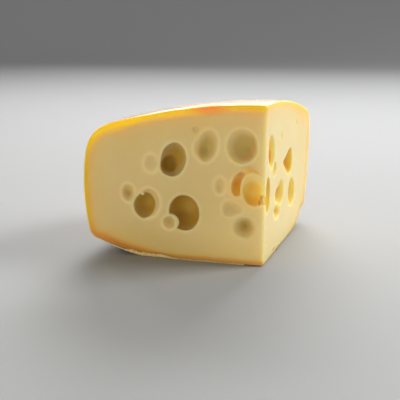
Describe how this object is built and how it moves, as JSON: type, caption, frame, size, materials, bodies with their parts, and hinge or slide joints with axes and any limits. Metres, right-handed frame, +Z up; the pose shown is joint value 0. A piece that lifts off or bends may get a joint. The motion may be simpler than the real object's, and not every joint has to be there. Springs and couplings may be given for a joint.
{
  "type": "maasdam cheese wedge",
  "caption": "Wedge cut from a domed wheel of holed cheese, with smooth rind on its back, top and underside and open round eyes in both cut faces.",
  "frame": {"origin": "bottom centre of the bounding box, on the plane that the wedge stands on", "axes": "+Z up; the large cut face stands in a plane of X and Z and looks along -Y; the wheel's axis is the vertical edge at +X, -Y"},
  "size_m": [0.2002, 0.1766, 0.15],
  "materials": {
    "cheese": "satin, moist, slightly translucent pale yellow cheese paste, with a thin glossy orange-yellow rind"
  },
  "bodies": {
    "root": {"cheese_wedge": "cheese"}
  },
  "joints": []
}
